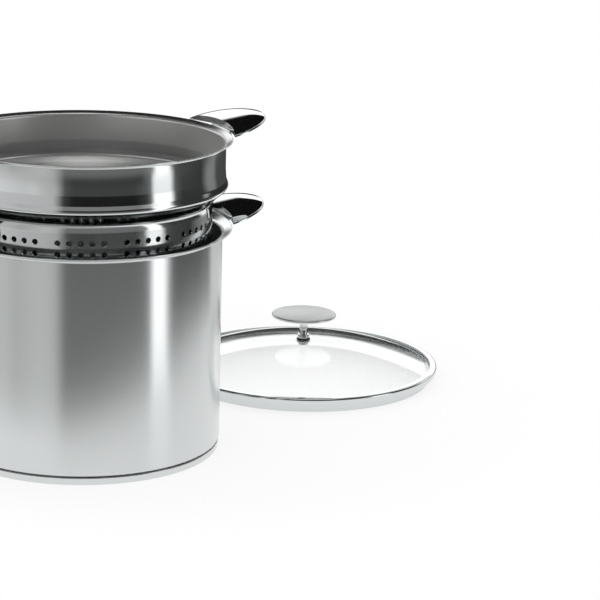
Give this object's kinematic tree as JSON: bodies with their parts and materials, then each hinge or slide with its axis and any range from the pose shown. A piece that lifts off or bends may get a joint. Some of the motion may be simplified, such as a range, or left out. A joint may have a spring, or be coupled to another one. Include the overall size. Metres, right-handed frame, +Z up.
{
  "type": "pasta pot with strainer insert",
  "caption": "Tall steel cooking pot with side handles, a perforated strainer insert lifted partly out of it, and a domed glass lid with a disc knob lying beside it.",
  "frame": {"origin": "centre of the pot's flat underside, on the table", "axes": "+Z up along the axis of the pot and the insert; +X from the pot's axis to its right handle, with the lid lying on the +X, +Y side; +Y toward the far side"},
  "size_m": [0.5803, 0.3669, 0.2881],
  "materials": {
    "polished_steel": "mirror-polished stainless steel",
    "pot_steel": "satin stainless steel body",
    "basket_steel": "plain rolled stainless sheet",
    "spreader_aluminium": "bare aluminium disc",
    "screw_steel": "turned steel",
    "lid_glass": "clear tempered glass",
    "lid_seal": "dark silicone"
  },
  "bodies": {
    "pot": {"pot_shell": "pot_steel", "pot_heat_spreader": "spreader_aluminium", "pot_base_cap": "polished_steel", "pot_handle_right": "polished_steel", "pot_handle_left": "polished_steel", "pot_bracket_right": "polished_steel", "pot_bracket_left": "polished_steel", "pot_handle_screws": "screw_steel"},
    "insert": {"insert_collar": "polished_steel", "insert_basket": "basket_steel", "insert_handle_right": "polished_steel", "insert_handle_left": "polished_steel", "insert_bracket_right": "polished_steel", "insert_bracket_left": "polished_steel", "insert_handle_screws": "screw_steel"},
    "lid": {"lid_band": "polished_steel", "lid_glass": "lid_glass", "lid_seal": "lid_seal", "lid_knob": "polished_steel", "lid_knob_stem": "polished_steel", "lid_knob_ferrule": "polished_steel", "lid_knob_gasket": "lid_seal", "lid_knob_washer": "screw_steel", "lid_knob_screw": "screw_steel"}
  },
  "joints": [
    {"name": "insert_lift", "type": "slide", "parent": "pot", "child": "insert", "axis": [0, 0, 1], "range_m": [-0.0353, 0.15]},
    {"name": "lid_lift", "type": "slide", "parent": "pot", "child": "lid", "axis": [0, 0, 1], "range_m": [0, 0.15]}
  ]
}
